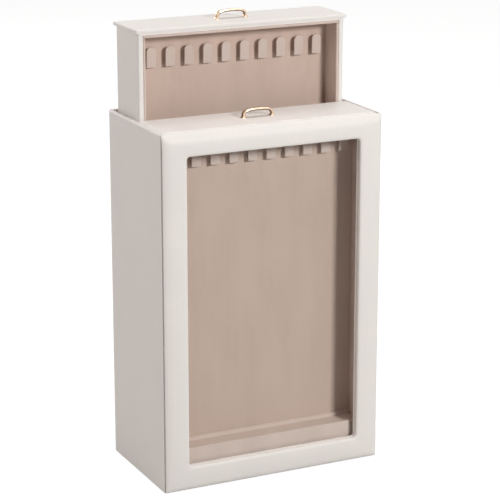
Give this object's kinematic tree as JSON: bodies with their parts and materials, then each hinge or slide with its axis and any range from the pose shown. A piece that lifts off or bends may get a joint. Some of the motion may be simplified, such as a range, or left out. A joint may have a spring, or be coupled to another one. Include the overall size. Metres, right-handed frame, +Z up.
{
  "type": "necklace box",
  "caption": "Upright leatherette necklace box with a framed front window and velvet-lined pull-up hook drawers with bow handles.",
  "frame": {"origin": "middle of the underside, on the surface that the box stands on", "axes": "+Z up, the window looks along -Y, +X to the right as seen from the front"},
  "size_m": [0.212, 0.122, 0.4113],
  "materials": {
    "white_leatherette": "fine grained satin, warm white",
    "velvet": "short pile, dusty pink beige",
    "base_felt": "pressed felt",
    "fibreboard": "plain pressed board",
    "clear_pane": "clear and polished",
    "gold": "polished, warm light gold",
    "screw_steel": "plated"
  },
  "bodies": {
    "casing": {"left_side_panel": "white_leatherette", "right_side_panel": "white_leatherette", "back_panel": "white_leatherette", "front_board": "white_leatherette", "front_cover": "white_leatherette", "base_pad": "base_felt", "base_panel": "fibreboard", "window_pane": "clear_pane", "left_well_liner": "white_leatherette", "right_well_liner": "white_leatherette", "back_well_liner": "velvet", "well_divider": "velvet", "well_floor_pads": "velvet"},
    "front_drawer": {"front_drawer_lid": "white_leatherette", "front_drawer_top_board": "white_leatherette", "front_drawer_bottom_board": "white_leatherette", "front_drawer_left_wall": "white_leatherette", "front_drawer_right_wall": "white_leatherette", "front_drawer_left_lining": "velvet", "front_drawer_right_lining": "velvet", "front_drawer_top_lining": "velvet", "front_drawer_front_panel": "velvet", "front_drawer_rear_panel": "velvet", "front_drawer_front_tray_block": "velvet", "front_drawer_rear_tray_block": "velvet", "front_drawer_front_lip": "velvet", "front_drawer_rear_lip": "velvet", "front_drawer_front_hooks": "velvet", "front_drawer_rear_hooks": "velvet", "front_drawer_centre_board": "fibreboard", "front_drawer_handle": "gold", "front_drawer_handle_screws": "screw_steel"},
    "rear_drawer": {"rear_drawer_lid": "white_leatherette", "rear_drawer_top_board": "white_leatherette", "rear_drawer_bottom_board": "white_leatherette", "rear_drawer_left_wall": "white_leatherette", "rear_drawer_right_wall": "white_leatherette", "rear_drawer_left_lining": "velvet", "rear_drawer_right_lining": "velvet", "rear_drawer_top_lining": "velvet", "rear_drawer_front_panel": "velvet", "rear_drawer_rear_panel": "velvet", "rear_drawer_front_tray_block": "velvet", "rear_drawer_rear_tray_block": "velvet", "rear_drawer_front_lip": "velvet", "rear_drawer_rear_lip": "velvet", "rear_drawer_front_hooks": "velvet", "rear_drawer_rear_hooks": "velvet", "rear_drawer_centre_board": "fibreboard", "rear_drawer_handle": "gold", "rear_drawer_handle_screws": "screw_steel"}
  },
  "joints": [
    {"name": "front_drawer_lift", "type": "slide", "parent": "casing", "child": "front_drawer", "axis": [0, 0, 1], "range_m": [0, 0.324]},
    {"name": "rear_drawer_lift", "type": "slide", "parent": "casing", "child": "rear_drawer", "axis": [0, 0, 1], "range_m": [-0.079, 0.245]}
  ]
}
